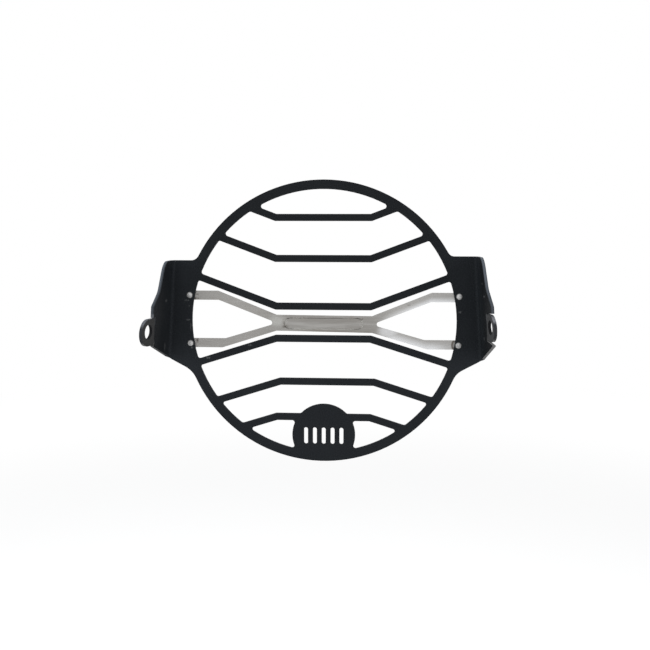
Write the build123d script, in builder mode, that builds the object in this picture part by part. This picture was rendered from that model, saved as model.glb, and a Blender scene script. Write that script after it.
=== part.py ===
"""Guard for a round motorcycle headlight: a laser-cut and folded sheet grille with a riveted steel brace.

The origin is the centre of the ring, on the sheet's rear face. +X is to the right seen from behind,
+Y points forward, away from the headlight, and +Z is up. Lengths are in millimetres, angles in degrees.
"""

import os
from math import cos, radians, sin, tan

from build123d import *

# Sheet of the grille, and the inside radii of its folds
sheet = 2.0
wing_bend_radius = 2.0
tab_bend_radius = 2.0

# Ring, and the round plate that hangs at its foot
ring_radius = 97.5
ring_band = 6.3
disc_radius = 22.0
disc_x = 0.4
disc_inset = 18.7

# Cross bars, each with a level middle and two slanted ends: the outer two are set in from the ring's
# outer edge, and bars 2 and 5 lie a little above and below the middle of their gaps
bar_width = 4.8
bar_half_span = 32.5
upper_bar_slant = 20.65
lower_bar_slant = 17.6
bar_1_inset = 25.4
bar_2_lift = 2.5
bar_3_z = 11.5
bar_4_z = -10.9
bar_5_drop = 2.5
bar_5_shift = 2.7
bar_6_inset = 31.35
opening_corner_radius = 1.7
opening_tip_radius = 2.4

# Plain upright slots through the round plate
slot_count = 5
slot_width = 2.8
slot_height = 12.0
slot_pitch = 6.2
slot_drop = 0.7

# Folds between the ring's plate and the wings: the two spread apart downwards
fold_margin = 9.9
fold_slant = 4.0

# Plate outside the ring
left_top_z = 42.8
left_top_fillet = 6.0
left_foot_fillet = 17.0
right_top_z = 46.1
right_top_fillet = 5.0
right_foot_fillet = 13.0
foot_z = -24.7
foot_slant = 28.2
wing_foot_z = -23.9

# Wings: distances behind the fold, and drops below the top edge
wing_corner_depth = 20.0
wing_corner_radius = 13.0
wing_waist_depth = 31.2
wing_waist_drop = 19.6
wing_waist_radius = 12.0
wing_depth = 47.7
wing_shoulder_drop = 29.2
wing_shoulder_radius = 2.5
wing_edge_radius = 0.5
wing_tip_radius = 0.3
relief_gap = 0.4
left_lean = 0.0
left_notch_rise = 0.4
left_tip_depth = 44.0
right_lean = 2.0
right_notch_rise = 1.6
right_tip_depth = 49.5

# Tabs
tab_radius = 8.7
tab_hole_radius = 4.75
tab_hole_offset = 8.6
tab_hole_rise = 0.6
left_tab_depth = 41.0
left_tab_z = -1.4
left_tab_splay = 12.5
right_tab_depth = 29.0
right_tab_z = 1.8
right_tab_splay = 8.0

# Brace: a waist with four arms, which are level from their ends to their bends and narrower from there.
# The bend runs lie between a rivet and the two corners of its arm's bend, the outer one first
brace_sheet = 1.5
arm_width = 6.3
arm_end_margin = 4.2
arm_end_radius = 1.5
left_upper_arm_drop = 0.2
right_upper_arm_drop = 0.8
lower_arm_lift = 0.05
upper_bend_runs = (18.9, 19.4)
lower_bend_runs = (21.7, 23.6)
arm_bend_radius = 8.0
brace_shift = 0.5
waist_half_length = 33.0
left_waist_top_z = 5.25
right_waist_top_z = 4.75
left_waist_foot_z = -5.75
right_waist_foot_z = -6.75
waist_corner_radius = 12.0
crotch_inset = 0.6
left_crotch_z = -0.45
right_crotch_z = -1.1
crotch_radius = 1.8

# Pressed bead along the waist: hollow behind, raised in front
bead_length = 55.0
bead_width = 8.0
bead_depth = 0.8
bead_wall_slant = 35.0

# Rivets
rivet_inset = 4.9
upper_rivet_z = 18.8
lower_rivet_z = -14.7
rivet_radius = 2.0
rivet_clearance = 0.05
rivet_tail_radius = 2.3
rivet_tail_height = 0.8
rivet_head_radius = 3.0
rivet_head_height = 1.4

# Sizes that follow from those above
ring_inner_radius = ring_radius - ring_band
disc_z = disc_inset - ring_radius
bar_1_z = ring_radius - bar_1_inset
bar_2_z = (bar_1_z + bar_3_z) / 2 + bar_2_lift
bar_6_z = bar_6_inset - ring_radius
bar_5_z = (bar_4_z + bar_6_z) / 2 - bar_5_drop
bars = [
    (bar_1_z, 0, upper_bar_slant),
    (bar_2_z, 0, upper_bar_slant),
    (bar_3_z, 0, upper_bar_slant),
    (bar_4_z, 0, -lower_bar_slant),
    (bar_5_z, bar_5_shift, -lower_bar_slant),
    (bar_6_z, 0, -lower_bar_slant),
]
bar_run = ring_radius - bar_half_span
fold_half_width = ring_radius + fold_margin
fold_reach = wing_bend_radius + sheet
rivet_x = ring_radius - rivet_inset
arm_end_x = rivet_x + arm_end_margin
left_upper_arm_z = upper_rivet_z - left_upper_arm_drop
right_upper_arm_z = upper_rivet_z - right_upper_arm_drop
lower_arm_z = lower_rivet_z + lower_arm_lift
waist_left_x = brace_shift - waist_half_length
waist_right_x = brace_shift + waist_half_length
waist_z = (left_waist_top_z + right_waist_top_z + left_waist_foot_z + right_waist_foot_z) / 4
rivet_places = [(x, z) for x in (-rivet_x, rivet_x) for z in (upper_rivet_z, lower_rivet_z)]
grip = sheet + brace_sheet
brace_rear = Plane.XZ.offset(-sheet)
brace_front = brace_rear.offset(-brace_sheet)


def fold_x(z):
    """Distance of the fold from the middle at a height."""
    return fold_half_width - z * tan(radians(fold_slant))


def foot_edge_z(x):
    """Height of the plate's slanted foot edge at a distance from the middle."""
    return foot_z - (fold_x(foot_z) - x) * tan(radians(foot_slant))


def arm_corners(side, arm_z, half_width, outer_run, inner_run):
    """Corners of one arm of the brace, from its inner bend round its end to its outer bend."""
    return [
        (side * (rivet_x - inner_run) + brace_shift, arm_z - half_width),
        (side * arm_end_x, arm_z - half_width),
        (side * arm_end_x, arm_z + half_width),
        (side * (rivet_x - outer_run) + brace_shift, arm_z + half_width),
    ]


def arm_outline(top_z):
    """Corners of the plate between the ring and the right-hand fold."""
    top_x = fold_x(top_z) - fold_reach
    foot_x = fold_x(foot_z) - fold_reach
    return [(0, top_z), (top_x, top_z), (foot_x, foot_edge_z(foot_x)), (0, foot_edge_z(0))]


def folded_wing(top_z, lean, notch_rise, tip_depth, tab_depth, tab_z, tab_splay):
    """Right-hand wing with its fold and its tab, all of one sheet."""
    fold = Plane(Location((fold_half_width, sheet / 2, 0), (0, -fold_slant, 0)))
    wing_way = Vector(sin(radians(lean)), -cos(radians(lean)))
    tab_way = Vector(sin(radians(tab_splay)), -cos(radians(tab_splay)))
    bend_radius = wing_bend_radius + sheet / 2
    bend_x = -bend_radius * tan(radians((90 - lean) / 2))
    local_foot_z = foot_z / cos(radians(fold_slant))
    local_foot_slope = tan(radians(foot_slant - fold_slant))
    bend_foot_z = local_foot_z + bend_x * local_foot_slope
    bend_climb = wing_foot_z / cos(radians(fold_slant)) - bend_foot_z
    blank_foot_z = foot_z - 2 * fold_reach
    tab_root = wing_way * tab_depth
    tab_length = tab_hole_offset + tab_radius
    notch_top_z = tab_z + tab_radius + relief_gap
    notch_foot_z = tab_z - tab_radius - relief_gap

    with BuildPart() as tab:
        with BuildSketch(fold):
            with BuildLine():
                FilletPolyline(
                    tab_root - wing_way * tab_radius,
                    tab_root,
                    tab_root + tab_way * (tab_length + sheet),
                    radius=tab_bend_radius + sheet / 2,
                )
            trace(line_width=sheet)
        extrude(amount=ring_radius, both=True)
        root_point = fold.from_local_coords(tab_root + Vector(0, 0, tab_z))
        length_way = fold.from_local_coords(tab_way) - fold.origin
        with BuildSketch(Plane(root_point, x_dir=length_way, z_dir=length_way.cross(fold.z_dir))):
            with Locations((tab_hole_offset, 0)):
                Circle(tab_radius)
                Rectangle(tab_hole_offset + tab_radius / 2, 2 * tab_radius, align=(Align.MAX, Align.CENTER))
            with Locations((tab_hole_offset, tab_hole_rise)):
                Circle(tab_hole_radius, mode=Mode.SUBTRACT)
        extrude(amount=tab_radius, both=True, mode=Mode.INTERSECT)

    with BuildPart() as wing:
        with BuildSketch(fold):
            with BuildLine():
                FilletPolyline(
                    (-2 * fold_reach, 0),
                    (0, 0),
                    wing_way * (tip_depth + sheet),
                    radius=bend_radius,
                )
            trace(line_width=sheet)
        extrude(amount=ring_radius, both=True)
        with BuildSketch(Plane.YZ.offset(ring_inner_radius)):
            with BuildLine():
                edge = FilletPolyline(
                    (2 * sheet, top_z),
                    (-wing_corner_depth, top_z),
                    (-wing_waist_depth, top_z - wing_waist_drop),
                    (-wing_depth, top_z - wing_shoulder_drop),
                    (-wing_depth, notch_top_z + notch_rise),
                    (-tab_depth, notch_top_z),
                    (-tab_depth, notch_foot_z),
                    (-tip_depth, notch_foot_z),
                    (-wing_bend_radius, wing_foot_z),
                    radius=[
                        wing_corner_radius,
                        wing_waist_radius,
                        wing_shoulder_radius,
                        wing_edge_radius,
                        wing_edge_radius,
                        wing_edge_radius,
                        wing_tip_radius,
                    ],
                )
                Polyline(edge @ 1, (-wing_bend_radius, blank_foot_z), (2 * sheet, blank_foot_z), edge @ 0)
            make_face()
        extrude(amount=ring_radius, mode=Mode.INTERSECT)
        with BuildSketch(Plane(fold.origin, x_dir=fold.x_dir, z_dir=-fold.y_dir)):
            with BuildLine():
                Polyline(
                    (bend_x, bend_foot_z),
                    (bend_x - 2 * fold_reach, bend_foot_z - 2 * fold_reach * local_foot_slope),
                    (bend_x - 2 * fold_reach, blank_foot_z - fold_reach),
                    (bend_x, blank_foot_z - fold_reach),
                    close=True,
                )
            make_face()
        extrude(amount=fold_reach, both=True, mode=Mode.SUBTRACT)
        for turn in (0, 45, 90):
            outward = fold.x_dir * sin(radians(turn)) + fold.y_dir * cos(radians(turn))
            along = fold.x_dir * cos(radians(turn)) - fold.y_dir * sin(radians(turn))
            centre = fold.from_local_coords((bend_x, -bend_radius, bend_foot_z + bend_climb * turn / 90))
            with BuildSketch(Plane(centre, x_dir=outward, z_dir=along)):
                with Locations(Location((bend_radius, 0), -fold_slant * turn / 90)):
                    Rectangle(2 * sheet, 4 * fold_reach, align=(Align.CENTER, Align.MAX))
        loft(mode=Mode.SUBTRACT)
        add(tab.part)
    return wing.part


# Openings between the bars, with rounded corners
with BuildSketch(Plane.XZ) as openings:
    Circle(ring_inner_radius)
    for bar_z, bar_shift, bar_slant in bars:
        bar_rise = bar_run * tan(radians(bar_slant))
        with BuildLine():
            Polyline(
                (bar_shift - bar_half_span - bar_run, bar_z + bar_rise),
                (bar_shift - bar_half_span, bar_z),
                (bar_shift + bar_half_span, bar_z),
                (bar_shift + bar_half_span + bar_run, bar_z + bar_rise),
            )
        trace(line_width=bar_width, mode=Mode.SUBTRACT)
    with Locations((disc_x, disc_z)):
        Circle(disc_radius, mode=Mode.SUBTRACT)
    high_corners = openings.vertices().filter_by_position(Axis.Y, bar_1_z, ring_radius).sort_by(Axis.X)
    low_corners = openings.vertices().filter_by_position(Axis.Y, -ring_radius, bar_6_z).sort_by(Axis.X)
    tips = ShapeList([high_corners[0], high_corners[-1], low_corners[0], low_corners[-1]])
    fillet(openings.vertices() - tips, radius=opening_corner_radius)
    for tip in tips:
        fillet(openings.vertices().sort_by_distance(tip)[0], radius=opening_tip_radius)

# Grille: ring, bars, round plate, wings and tabs, cut and folded from one sheet
left_wing = folded_wing(
    left_top_z, left_lean, left_notch_rise, left_tip_depth, left_tab_depth, left_tab_z, left_tab_splay
)
right_wing = folded_wing(
    right_top_z, right_lean, right_notch_rise, right_tip_depth, right_tab_depth, right_tab_z, right_tab_splay
)
with BuildPart() as guard_plate:
    with BuildSketch(Plane.XZ) as plate:
        with BuildLine():
            Polyline(arm_outline(right_top_z), close=True)
        make_face()
        with BuildLine():
            Polyline([(-x, z) for x, z in arm_outline(left_top_z)], close=True)
        make_face()
        Circle(ring_radius)
        for side, rise, radius in (
            (-1, 1, left_top_fillet),
            (-1, -1, left_foot_fillet),
            (1, 1, right_top_fillet),
            (1, -1, right_foot_fillet),
        ):
            joints = plate.vertices().filter_by_position(Axis.X, -ring_radius, ring_radius)
            fillet(joints.sort_by(lambda joint: side * joint.X + rise * joint.Y)[-1], radius=radius)
        add(openings.sketch_local, mode=Mode.SUBTRACT)
        with Locations((disc_x, disc_z - slot_drop)):
            with GridLocations(slot_pitch, 0, slot_count, 1):
                SlotOverall(slot_height, slot_width, rotation=90, mode=Mode.SUBTRACT)
        with Locations(*rivet_places):
            Circle(rivet_radius + rivet_clearance, mode=Mode.SUBTRACT)
    extrude(amount=-sheet)
    add(right_wing)
    add(mirror(left_wing, about=Plane.YZ, mode=Mode.PRIVATE))

# Brace: a flat strip with four arms, stiffened along its waist by a pressed bead
with BuildPart() as brace:
    with BuildSketch(brace_rear) as brace_outline:
        with BuildLine():
            Polyline(
                (waist_left_x + crotch_inset, left_crotch_z),
                *arm_corners(-1, left_upper_arm_z, arm_width / 2, *upper_bend_runs),
                (waist_left_x, left_waist_top_z),
                (waist_right_x, right_waist_top_z),
                *reversed(arm_corners(1, right_upper_arm_z, arm_width / 2, *upper_bend_runs)),
                (waist_right_x - crotch_inset, right_crotch_z),
                *arm_corners(1, lower_arm_z, -arm_width / 2, *lower_bend_runs),
                (waist_right_x, right_waist_foot_z),
                (waist_left_x, left_waist_foot_z),
                *reversed(arm_corners(-1, lower_arm_z, -arm_width / 2, *lower_bend_runs)),
                close=True,
            )
        make_face()
        corners = brace_outline.vertices().sort_by(lambda corner: abs(corner.X))
        waist_corners = corners[:6].sort_by(lambda corner: abs(corner.Y - waist_z))
        fillet(waist_corners[:2], radius=crotch_radius)
        fillet(waist_corners[2:], radius=waist_corner_radius)
        fillet(corners[6:-8], radius=arm_bend_radius)
        fillet(corners[-8:], radius=arm_end_radius)
        with Locations(*rivet_places):
            Circle(rivet_radius + rivet_clearance, mode=Mode.SUBTRACT)
    extrude(amount=-brace_sheet)
    with BuildSketch(brace_front):
        with Locations((0, waist_z)):
            SlotOverall(bead_length, bead_width)
    extrude(amount=-bead_depth, taper=bead_wall_slant)
    with BuildSketch(brace_rear):
        with Locations((0, waist_z)):
            SlotOverall(bead_length, bead_width)
    extrude(amount=-bead_depth, taper=bead_wall_slant, mode=Mode.SUBTRACT)

# Rivets: one profile, turned about each rivet's axis
with BuildPart() as rivets:
    for x, z in rivet_places:
        with BuildSketch(Plane.XY.offset(z)):
            with BuildLine():
                tail = TangentArc(
                    (x, -rivet_tail_height), (x + rivet_tail_radius, 0), tangent=(1, 0)
                )
                shank = Polyline(
                    tail @ 1,
                    (x + rivet_radius, 0),
                    (x + rivet_radius, grip),
                    (x + rivet_head_radius, grip),
                )
                head = TangentArc((x, grip + rivet_head_height), shank @ 1, tangent=(1, 0))
                Line(head @ 0, tail @ 0)
            make_face()
        revolve(axis=Axis((x, 0, z), (0, 1, 0)))

guard_plate.part.label = "guard_plate"
brace.part.label = "brace"
rivets.part.label = "rivets"

os.makedirs("parts", exist_ok=True)
export_step(guard_plate.part, "parts/guard_plate.step")
export_step(brace.part, "parts/brace.step")
export_step(rivets.part, "parts/rivets.step")
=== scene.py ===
"""Studio scene of the headlight guard: materials, soft lamps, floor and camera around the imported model."""

from math import radians

import bpy
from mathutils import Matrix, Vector

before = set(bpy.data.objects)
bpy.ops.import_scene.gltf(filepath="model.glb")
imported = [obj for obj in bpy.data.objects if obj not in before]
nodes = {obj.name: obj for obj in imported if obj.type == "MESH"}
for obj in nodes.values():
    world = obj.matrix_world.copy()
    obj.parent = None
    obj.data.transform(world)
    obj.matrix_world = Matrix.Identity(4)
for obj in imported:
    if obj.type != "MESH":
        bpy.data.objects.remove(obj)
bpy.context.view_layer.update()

# Places on the guard, in millimetres
TAB_HOLES = ((-109.3, -48.4, -0.7), (109.4, -36.5, 2.5))
TAB_HOLE_REACH = (5.4, 5.4, 5.4)
LOWER_RIGHT_RIVET = (93.0, 2, -14.7)
BEAD_CENTRE = (0, 2, -0.6)
BEAD_REACH = (32, 6, 5.2)

# Bands, in metres, over which a look changes from one part of the guard to the next
LEFT_TO_RIGHT = (-0.01, 0.01)
RING_TO_PLATE = (0.07, 0.097)
BEHIND_FOLDS = (-0.007, -0.004)
BEHIND_TABS = (-0.027, -0.024)
TAB_TOP = (0.0035, 0.0065)
TAB_FOOT = (-0.0075, -0.005)
RIM_ABOVE_TAB = (0.0095, 0.011)
RIM_BELOW_TAB = (-0.012, -0.01)
WAIST_TO_FORKS = (0.028, 0.04)
FORKS_TO_ARMS = (0.036, 0.056)

# Small marks, in millimetres: centre, reach along x, y and z, and strength
SCUFFS = [
    ((-105.3, -14.8, 16.2), (1.2, 3.2, 1.0), 0.9),
    ((-107.5, -13.0, -15.5), (1.2, 1.4, 3.8), 0.9),
    ((-94.5, 0, 15.2), (2.4, 1.2, 0.7), 0.6),
    ((-50.9, 0, -15.8), (2.2, 1.2, 0.8), 0.8),
    ((-93.2, 0, 11.3), (0.9, 1.2, 0.9), 0.5),
    ((-93.9, 0, 1.7), (1.9, 1.2, 0.8), 0.9),
    ((-92.2, 0, -3.0), (0.7, 1.2, 4.0), 0.5),
    ((-91.8, 0, -17.8), (1.1, 1.2, 1.1), 0.9),
    ((-80.3, 0, -24.9), (1.8, 1.2, 1.2), 1.0),
    ((93.2, 0, 8.2), (1.5, 1.2, 1.1), 0.7),
    ((105.8, -24.3, 21.0), (1.2, 3.4, 1.1), 0.9),
    ((105.0, -18.7, 29.1), (1.2, 2.4, 0.7), 0.7),
    ((107.5, -16.7, -7.4), (1.2, 2.0, 1.4), 0.7),
]
STAINS_AND_BEAD_END_SHADE = [
    ((-89.6, 2, 16.3), (2.2, 3, 1.6), 1.0),
    ((-87.5, 2, 19.2), (1.6, 3, 0.9), 0.8),
    ((-87.2, 2, 16.4), (0.9, 3, 0.9), 0.7),
    ((-88.2, 2, -12.8), (1.2, 3, 2.4), 0.9),
    # Painted shade at the bead's left end, where its wall is turned from the light
    ((-26.4, 2, -2.9), (3.4, 4, 1.6), 0.55),
    ((-27.5, 2, 0.5), (1.6, 4, 4.5), 0.2),
    ((23.6, 2, 3.2), (0.9, 3, 0.7), 0.6),
    ((26.8, 2, 2.8), (0.9, 3, 0.7), 0.7),
    ((58.5, 2, 12.6), (1.8, 3, 0.8), 0.5),
]


class Nodes:
    """Short calls that add and link shader nodes in one material."""

    def __init__(self, name):
        self.material = bpy.data.materials.new(name)
        self.material.use_nodes = True
        self.tree = self.material.node_tree
        self.shader = self.tree.nodes["Principled BSDF"]
        self.place = self.add("ShaderNodeTexCoord").outputs["Object"]

    def add(self, kind, **settings):
        node = self.tree.nodes.new(kind)
        for key, value in settings.items():
            setattr(node, key, value)
        return node

    def link(self, source, target):
        self.tree.links.new(source, target)

    def noise(self, scale, detail, roughness=0.5, vector=None):
        node = self.add("ShaderNodeTexNoise")
        node.inputs["Scale"].default_value = scale
        node.inputs["Detail"].default_value = detail
        node.inputs["Roughness"].default_value = roughness
        self.link(vector or self.place, node.inputs["Vector"])
        return node.outputs["Fac"]

    def ramp(self, source, low, high, to_low=0.0, to_high=1.0):
        """Soft step of the source from one value to another, between low and high."""
        node = self.add("ShaderNodeMapRange", interpolation_type="SMOOTHSTEP")
        node.inputs["From Min"].default_value = low
        node.inputs["From Max"].default_value = high
        node.inputs["To Min"].default_value = to_low
        node.inputs["To Max"].default_value = to_high
        self.link(source, node.inputs["Value"])
        return node.outputs["Result"]

    def fall(self, source, low, high):
        """1 below the low end, falling to 0 at the high one."""
        return self.ramp(source, low, high, 1.0, 0.0)

    def split(self, vector):
        node = self.add("ShaderNodeSeparateXYZ")
        self.link(vector, node.inputs["Vector"])
        return node.outputs

    def math(self, operation, first, second=None, third=None):
        node = self.add("ShaderNodeMath", operation=operation)
        for socket, value in zip(node.inputs, (first, second, third)):
            if value is None:
                continue
            if isinstance(value, (int, float)):
                socket.default_value = value
            else:
                self.link(value, socket)
        return node.outputs["Value"]

    def absolute(self, source):
        return self.math("ABSOLUTE", source)

    def inverse(self, source):
        return self.math("SUBTRACT", 1.0, source)

    def product(self, *factors):
        result = factors[0]
        for factor in factors[1:]:
            result = self.math("MULTIPLY", result, factor)
        return result

    def mix(self, fac, first, second):
        """Colour between the first at fac 0 and the second at fac 1."""
        node = self.add("ShaderNodeMix", data_type="RGBA")
        self.link(fac, node.inputs[0])
        for socket, value in ((node.inputs[6], first), (node.inputs[7], second)):
            if isinstance(value, tuple):
                socket.default_value = (*value, 1.0)
            else:
                self.link(value, socket)
        return node.outputs[2]

    def spot(self, centre, reach, soft=0.5):
        """1 in the heart of an ellipsoid given in millimetres, falling to 0 at its surface."""
        shifted = self.add("ShaderNodeVectorMath", operation="SUBTRACT")
        shifted.inputs[1].default_value = [c / 1000 for c in centre]
        self.link(self.place, shifted.inputs[0])
        scaled = self.add("ShaderNodeVectorMath", operation="MULTIPLY")
        scaled.inputs[1].default_value = [1000 / r for r in reach]
        self.link(shifted.outputs["Vector"], scaled.inputs[0])
        length = self.add("ShaderNodeVectorMath", operation="LENGTH")
        self.link(scaled.outputs["Vector"], length.inputs[0])
        return self.ramp(length.outputs["Value"], soft, 1.0, 1.0, 0.0)

    def facing(self):
        return self.split(self.add("ShaderNodeTexCoord").outputs["Normal"])

    def bump(self, height, strength, distance):
        node = self.add("ShaderNodeBump")
        node.inputs["Strength"].default_value = strength
        node.inputs["Distance"].default_value = distance
        self.link(height, node.inputs["Height"])
        return node.outputs["Normal"]


def black_coat():
    """Satin black powder coat: fine grain, faint clouding, small scuffs, painted highlight and shade on the cut
    edges, painted light on the tab faces, and painted shade on the wings' inner faces.
    """
    m = Nodes("coat")
    where = m.split(m.place)
    facing = m.facing()
    from_middle = m.absolute(where["X"])
    sideways = m.absolute(facing["X"])
    right = m.ramp(where["X"], *LEFT_TO_RIGHT)
    cloud = m.noise(38.0, 3.0)
    speck = m.noise(1300.0, 2.0)
    dust = m.noise(620.0, 1.0)
    peel = m.noise(900.0, 3.0)

    # Flat faces, a little deeper in tone outside the ring
    inside = m.fall(from_middle, *RING_TO_PLATE)
    dark = m.mix(inside, (0.0074, 0.0088, 0.0104), (0.0074, 0.0084, 0.0098))
    light = m.mix(inside, (0.0104, 0.012, 0.0138), (0.0098, 0.011, 0.0124))
    tone = m.mix(m.ramp(cloud, 0.35, 0.7), dark, light)
    bright = m.mix(inside, (0.0165, 0.0185, 0.021), (0.0145, 0.016, 0.0178))
    tone = m.mix(m.ramp(speck, 0.38, 0.68, 0.0, 0.8), tone, bright)
    tone = m.mix(m.ramp(dust, 0.74, 0.8, 0.0, 0.5), tone, (0.05, 0.052, 0.054))

    # A little paler towards the foot and on the left
    lift_inside = m.ramp(where["Z"], -0.03, 0.06, 0.2, 0.0)
    side_lift = m.ramp(right, 0.0, 1.0, 0.18, 0.08)
    foot_lift = m.ramp(where["Z"], -0.024, -0.012, 0.18, 0.0)
    flat_face = m.ramp(where["Y"], -0.006, -0.002)
    lift_outside = m.product(m.math("ADD", side_lift, foot_lift), flat_face, m.inverse(inside))
    lift = m.math("MULTIPLY_ADD", lift_inside, inside, lift_outside)
    tone = m.mix(lift, tone, (0.026, 0.029, 0.034))

    # Inner faces of the wings: painted shade, darker towards the rear and more so on the right
    wing_painted_shade = m.product(
        m.ramp(sideways, 0.93, 0.98), m.fall(where["Y"], -0.022, -0.008), m.ramp(right, 0.0, 1.0, 0.35, 0.7)
    )
    tone = m.mix(wing_painted_shade, tone, (0.0035, 0.004, 0.0048))

    # Small scuffs
    broken = m.ramp(speck, 0.35, 0.6)
    for centre, reach, strength in SCUFFS:
        tone = m.mix(m.product(m.spot(centre, reach), broken, strength), tone, (0.08, 0.083, 0.085))

    # Cut edges of the tabs: painted highlight along their tops and below them, darker between; the right tab
    # lies higher, so heights are measured from a line tilted to suit
    tab_tilt = -0.0145
    tab_z = m.math("MULTIPLY_ADD", where["X"], tab_tilt, where["Z"])
    edge_painted_light = m.mix(m.fall(tab_z, *TAB_FOOT), (0.026, 0.027, 0.03), (0.14, 0.138, 0.137))
    tab_top_highlight = m.mix(right, (0.1, 0.104, 0.115), (0.22, 0.225, 0.245))
    edge_painted_light = m.mix(m.ramp(tab_z, *TAB_TOP), edge_painted_light, tab_top_highlight)

    # Cut edges of the wings: painted highlight, paler higher up and in the middle of the sheet, and painted
    # shade where the coat rounds its corners and low on the left
    above_tab = m.ramp(where["Z"], *RIM_ABOVE_TAB)
    painted_rim_shading = m.mix(m.ramp(where["Z"], 0.018, 0.036), (0.055, 0.062, 0.072), (0.088, 0.099, 0.115))
    edge_painted_light = m.mix(above_tab, edge_painted_light, painted_rim_shading)
    wing_middle, wing_lean, right_wing_turn, right_wing_shift = 0.1078, 0.07, 0.035, 0.0004
    depth = m.math("MULTIPLY_ADD", m.product(where["Y"], right), right_wing_turn, from_middle)
    depth = m.math("MULTIPLY_ADD", right, right_wing_shift, depth)
    depth = m.math("SUBTRACT", m.math("MULTIPLY_ADD", where["Z"], wing_lean, depth), wing_middle)
    rounded_corner_shade = m.product(m.ramp(m.absolute(depth), 0.0003, 0.001, 0.0, 0.75), above_tab)
    edge_painted_light = m.mix(rounded_corner_shade, edge_painted_light, (0.02, 0.022, 0.025))
    low_left_shade = m.product(m.fall(where["Z"], *RIM_BELOW_TAB), m.fall(where["X"], *LEFT_TO_RIGHT))
    edge_painted_light = m.mix(low_left_shade, edge_painted_light, (0.03, 0.031, 0.033))

    # Walls of the tabs' holes keep a plain dark coat colour, without the painted highlight
    for hole in TAB_HOLES:
        edge_painted_light = m.mix(m.spot(hole, TAB_HOLE_REACH, 0.97), edge_painted_light, (0.009, 0.009, 0.01))
    # Cut faces behind the folds take the painted edge light and shade, broken a little by the clouding
    behind = m.fall(where["Y"], *BEHIND_FOLDS)
    cut = m.product(behind, m.fall(sideways, 0.3, 0.6), m.ramp(cloud, 0.3, 0.6, 0.75, 1.0))
    tone = m.mix(cut, tone, edge_painted_light)

    # Faces of the two tabs: painted light, paler than the coat and more so on the right
    tab = m.product(
        m.fall(where["Y"], *BEHIND_TABS), m.fall(facing["Y"], -0.135, -0.12), m.ramp(sideways, 0.8, 0.9)
    )
    tab_painted_light = m.mix(right, (0.034, 0.034, 0.0345), (0.041, 0.0412, 0.0425))
    m.link(m.mix(tab, tone, tab_painted_light), m.shader.inputs["Base Color"])
    m.link(m.ramp(cloud, 0.3, 0.75, 0.5, 0.6), m.shader.inputs["Roughness"])
    m.shader.inputs["Specular IOR Level"].default_value = 0.03
    m.link(m.bump(peel, 0.3, 0.00012), m.shader.inputs["Normal"])
    return m.material


def levelled(m, where, corner, slope):
    """Height on a right-hand arm, with its slanted run before the corner laid level with its end."""
    run = m.math("MAXIMUM", m.math("SUBTRACT", corner, where["X"]), 0.0)
    return m.math("MULTIPLY_ADD", run, slope, where["Z"])


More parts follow.
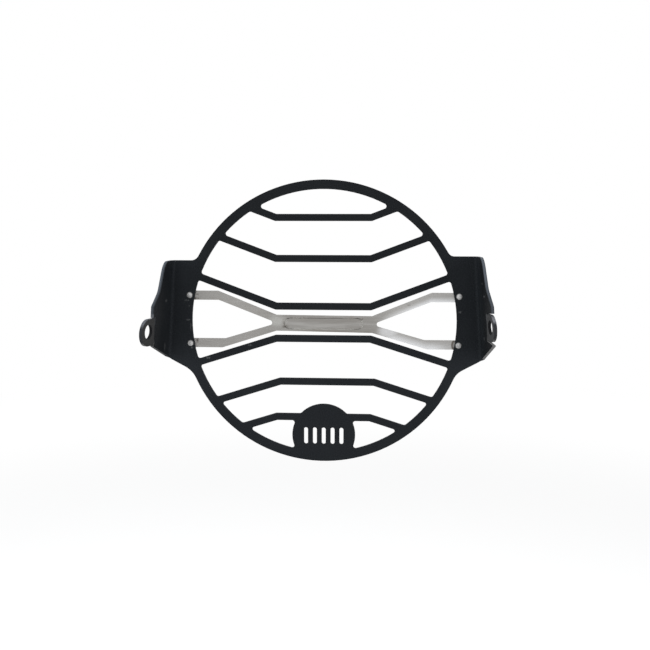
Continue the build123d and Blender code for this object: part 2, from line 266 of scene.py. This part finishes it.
def bare_steel():
    """Satin stainless strip: lengthwise grain, grey bands, brown stains, and painted light on the arms and bead
    walls, with a painted reflection on the right-hand arms.
    """
    m = Nodes("strip_steel")
    where = m.split(m.place)
    facing = m.facing()
    from_middle = m.absolute(where["X"])
    stretch = m.add("ShaderNodeMapping")
    stretch.inputs["Scale"].default_value = (0.06, 1.0, 1.0)
    m.link(m.place, stretch.inputs["Vector"])
    grain = m.noise(2200.0, 3.0, vector=stretch.outputs["Vector"])
    cloud = m.noise(30.0, 4.0)
    blotch = m.noise(85.0, 5.0, 0.6)
    speck = m.noise(900.0, 3.0)

    # Clouds and grain, bands along the waist, and painted light: paler arms, more so on the right, and a paler
    # patch at the left junction
    tone = m.mix(m.ramp(cloud, 0.3, 0.72), (0.215, 0.206, 0.195), (0.262, 0.256, 0.245))
    tone = m.mix(m.ramp(grain, 0.35, 0.7, 0.0, 0.6), tone, (0.272, 0.266, 0.255))
    bands = m.noise(520.0, 2.0, vector=stretch.outputs["Vector"])
    waist = m.ramp(from_middle, *WAIST_TO_FORKS, 1.0, 0.3)
    tone = m.mix(m.product(waist, m.ramp(bands, 0.42, 0.62, 0.0, 0.45)), tone, (0.185, 0.174, 0.16))
    tone = m.mix(m.product(waist, m.ramp(bands, 0.36, 0.46, 0.35, 0.0)), tone, (0.36, 0.352, 0.338))
    arms_painted_light = m.product(m.ramp(from_middle, *FORKS_TO_ARMS), m.ramp(where["X"], *LEFT_TO_RIGHT, 0.18, 0.42))
    tone = m.mix(arms_painted_light, tone, (0.41, 0.405, 0.395))
    left_junction_painted_light = m.product(m.spot((-32, 2, 1), (9, 9, 6), 0.2), 0.6)
    tone = m.mix(left_junction_painted_light, tone, (0.39, 0.39, 0.375))

    # Walls of the pressed bead: painted light that evens out their shading, but for a run along the top and the
    # left end's foot, which keep their shade
    wall = m.product(m.spot(BEAD_CENTRE, BEAD_REACH, 0.97), m.fall(m.absolute(facing["Y"]), 0.9, 0.98))
    bead_wall_shade_kept = m.math("MAXIMUM", m.product(m.spot((0, 2, 4), (20, 6, 3)), 0.7), m.spot((-26, 2, -3), (6, 6, 4)))
    bead_wall_painted_light = m.mix(m.ramp(where["Z"], -0.001, 0.001), (0.42, 0.41, 0.39), (0.75, 0.74, 0.71))
    tone = m.mix(m.product(wall, m.inverse(bead_wall_shade_kept)), tone, bead_wall_painted_light)

    # Right-hand arms and fork: painted reflection, brighter towards their lower edges
    upper = levelled(m, where, 0.074, 0.395)
    lower = levelled(m, where, 0.0705, -0.287)
    far_side = m.ramp(where["X"], 0.036, 0.05)
    upper_arm_reflection = m.product(
        far_side,
        m.ramp(where["Z"], 0.0, 0.002),
        m.fall(upper, 0.0145, 0.019),
        m.ramp(where["X"], 0.045, 0.066, 0.55, 1.0),
    )
    lower_arm_reflection = m.product(
        far_side,
        m.fall(where["Z"], -0.002, 0.0),
        m.fall(lower, -0.0182, -0.0115),
        m.ramp(where["X"], 0.074, 0.088, 1.0, 0.3),
    )
    fork_reflection = m.product(m.spot((44.5, 2, -5.8), (9.5, 6, 6.5), 0.3), 0.62)
    arm_painted_reflection = m.math("MAXIMUM", fork_reflection, m.math("MAXIMUM", upper_arm_reflection, lower_arm_reflection))
    tone = m.mix(arm_painted_reflection, tone, (0.58, 0.585, 0.595))

    # Darker brown along the waist's foot, stains in blotches, a painted dark reflection in a ring round a rivet,
    # the listed marks, and stain specks
    foot = m.product(
        m.fall(where["Z"], -0.0068, -0.0045), m.ramp(where["X"], -0.022, -0.008), m.fall(where["X"], 0.03, 0.036)
    )
    tone = m.mix(m.product(foot, 0.75), tone, (0.15, 0.135, 0.115))
    tone = m.mix(m.ramp(blotch, 0.6, 0.78, 0.0, 0.4), tone, (0.17, 0.145, 0.12))
    ring_outside = m.spot(LOWER_RIGHT_RIVET, (5.6, 9, 5.6), 0.85)
    ring_inside = m.spot(LOWER_RIGHT_RIVET, (4.4, 9, 4.4), 0.7)
    rivet_ring_reflection = m.math("SUBTRACT", ring_outside, ring_inside)
    tone = m.mix(m.product(m.math("MAXIMUM", rivet_ring_reflection, 0.0), 0.8), tone, (0.06, 0.045, 0.035))
    broken = m.ramp(speck, 0.3, 0.55)
    for centre, reach, strength in STAINS_AND_BEAD_END_SHADE:
        tone = m.mix(m.product(m.spot(centre, reach, 0.2), broken, strength), tone, (0.07, 0.058, 0.05))
    tone = m.mix(m.ramp(speck, 0.74, 0.8, 0.0, 0.6), tone, (0.12, 0.105, 0.09))
    m.link(tone, m.shader.inputs["Base Color"])
    m.shader.inputs["Metallic"].default_value = 1.0
    m.link(m.ramp(cloud, 0.3, 0.75, 0.46, 0.56), m.shader.inputs["Roughness"])
    m.link(m.bump(grain, 0.12, 0.00006), m.shader.inputs["Normal"])
    return m.material


def rivet_steel():
    """Dull rivet metal with small dents from setting, and painted shade round its rim."""
    m = Nodes("rivet_metal")
    facing = m.facing()
    where = m.split(m.place)
    dent = m.noise(900.0, 2.0)
    cloud = m.noise(520.0, 3.0)
    tone = m.mix(m.ramp(cloud, 0.35, 0.65), (0.3, 0.3, 0.3), (0.47, 0.465, 0.46))
    # Painted shade where the head's rim turns away, strongest on the rear side
    painted_rim_shading = m.fall(m.absolute(facing["Y"]), 0.84, 0.9)
    rear = m.ramp(where["Y"], -0.0002, 0.001, 1.0, 0.4)
    tone = m.mix(m.product(painted_rim_shading, rear), tone, (0.02, 0.02, 0.021))
    m.link(tone, m.shader.inputs["Base Color"])
    m.shader.inputs["Metallic"].default_value = 0.4
    m.link(m.ramp(cloud, 0.3, 0.75, 0.55, 0.7), m.shader.inputs["Roughness"])
    m.link(m.bump(dent, 0.4, 0.0002), m.shader.inputs["Normal"])
    return m.material


def dress(node, material):
    """Gives a CAD node its material."""
    slots = nodes[node].data.materials
    slots.clear()
    slots.append(material)


dress("guard_plate", black_coat())
dress("brace", bare_steel())
dress("rivets", rivet_steel())

# Even grey light from all round, which looks white to the camera and in reflections
world = bpy.data.worlds.new("studio")
bpy.context.scene.world = world
world.use_nodes = True
tree = world.node_tree
sky = tree.nodes["Background"]
path = tree.nodes.new("ShaderNodeLightPath")
seen = path.outputs["Is Camera Ray"]
for ray in ("Is Glossy Ray", "Is Transmission Ray"):
    either = tree.nodes.new("ShaderNodeMath")
    either.operation = "MAXIMUM"
    tree.links.new(seen, either.inputs[0])
    tree.links.new(path.outputs[ray], either.inputs[1])
    seen = either.outputs["Value"]
level = tree.nodes.new("ShaderNodeMapRange")
level.inputs["To Min"].default_value = 0.4
level.inputs["To Max"].default_value = 1.0
tree.links.new(seen, level.inputs["Value"])
tree.links.new(level.outputs["Result"], sky.inputs["Strength"])
sky.inputs["Color"].default_value = (1, 1, 1, 1)


def lamp(name, place, size, watts, colour=(1, 1, 1)):
    """Square soft lamp at a place, turned to shine at the guard's middle."""
    light = bpy.data.lights.new(name, "AREA")
    light.shape = "SQUARE"
    light.size = size
    light.energy = watts
    light.color = colour
    thing = bpy.data.objects.new(name, light)
    bpy.context.scene.collection.objects.link(thing)
    thing.location = place
    thing.rotation_euler = (-Vector(place)).to_track_quat("-Z", "Y").to_euler()


lamp("top", (-0.25, -0.1, 0.8), size=0.7, watts=5.0, colour=(0.93, 0.97, 1.0))
lamp("rear", (-0.1, -1.2, 0.5), size=0.8, watts=4.0)
lamp("left", (-0.95, -0.5, 0.2), size=0.6, watts=5.0, colour=(0.95, 0.98, 1.0))
lamp("right", (0.95, -0.5, 0.2), size=0.6, watts=5.0)


def white_floor(height, size):
    """Pale floor that keeps a soft shadow and turns as white as the surroundings further off."""
    bpy.ops.mesh.primitive_plane_add(size=size, location=(0, 0, height))
    plane = bpy.context.object
    plane.name = "floor"
    m = Nodes("floor_white")
    path = m.add("ShaderNodeLightPath")
    seen = m.math("MAXIMUM", path.outputs["Is Camera Ray"], path.outputs["Is Glossy Ray"])
    seen = m.math("MAXIMUM", seen, path.outputs["Is Transmission Ray"])
    distance = m.add("ShaderNodeVectorMath", operation="LENGTH")
    m.link(m.place, distance.inputs[0])
    far = m.ramp(distance.outputs["Value"], 0.3, 1.6)
    shown = m.mix(m.ramp(m.noise(6.0, 3.0), 0.3, 0.7), (0.86, 0.86, 0.86), (0.9, 0.9, 0.9))
    bounced = m.mix(far, (0.34, 0.34, 0.34), (0.0, 0.0, 0.0))
    m.link(m.mix(seen, shown, bounced), m.shader.inputs["Base Color"])
    m.shader.inputs["Roughness"].default_value = 1.0
    m.shader.inputs["Specular IOR Level"].default_value = 0.0
    m.shader.inputs["Emission Color"].default_value = (1, 1, 1, 1)
    m.link(m.product(seen, m.ramp(far, 0.0, 1.0, 0.74, 1.0)), m.shader.inputs["Emission Strength"])
    plane.data.materials.append(m.material)


white_floor(height=-0.35, size=12.0)

# Camera: the photograph's viewing angle, worked out from the grille's own lines
SENSOR_MM = 36.0
FOCAL_PIXELS = 808.0
PICTURE_PIXELS = 650.0
camera = bpy.data.cameras.new("camera")
camera.sensor_width = SENSOR_MM
camera.lens = FOCAL_PIXELS / PICTURE_PIXELS * SENSOR_MM
view = bpy.data.objects.new("camera", camera)
bpy.context.scene.collection.objects.link(view)
bpy.context.scene.camera = view
view.location = (0.034048, -0.550752, 0.066989)
view.rotation_euler = (radians(82.95), radians(-0.074), radians(3.418))
bpy.context.scene.view_settings.view_transform = "Standard"
